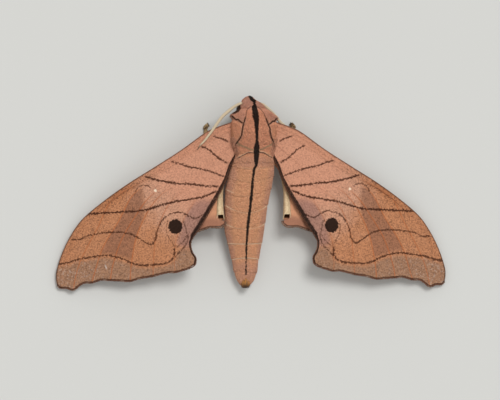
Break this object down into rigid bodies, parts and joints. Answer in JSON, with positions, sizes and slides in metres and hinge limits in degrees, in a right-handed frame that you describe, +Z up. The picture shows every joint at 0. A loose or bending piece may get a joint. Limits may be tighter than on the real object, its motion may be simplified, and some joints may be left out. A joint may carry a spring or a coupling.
{
  "type": "crested hawk moth at rest",
  "caption": "Life-size brown hawk moth at rest, scalloped forewings held wide over the folded hindwings, on six legs.",
  "frame": {"origin": "bottom centre of the moth's box, on the floor under the body", "axes": "+X across the wings towards the moth's right forewing in the view from above, +Y from tail to head, +Z up from the floor"},
  "size_m": [0.0924, 0.0457, 0.0131],
  "materials": {
    "fur": "matt, short scales",
    "wing": "matt, scaled membrane",
    "feeler": "matt",
    "leg": "matt, scaled",
    "eye": "glossy",
    "tail": "matt, brush of scales"
  },
  "bodies": {
    "root": {"head": "fur", "thorax": "fur", "abdomen": "fur", "tail_tuft": "tail", "eye_left": "eye", "eye_right": "eye", "palp_left": "fur", "palp_right": "fur", "antenna_left": "feeler", "antenna_right": "feeler", "forewing_left": "wing", "forewing_right": "wing", "hindwing_left": "wing", "hindwing_right": "wing", "leg_fore_left": "leg", "leg_fore_right": "leg", "leg_mid_left": "leg", "leg_mid_right": "leg", "leg_hind_left": "leg", "leg_hind_right": "leg"}
  },
  "joints": []
}
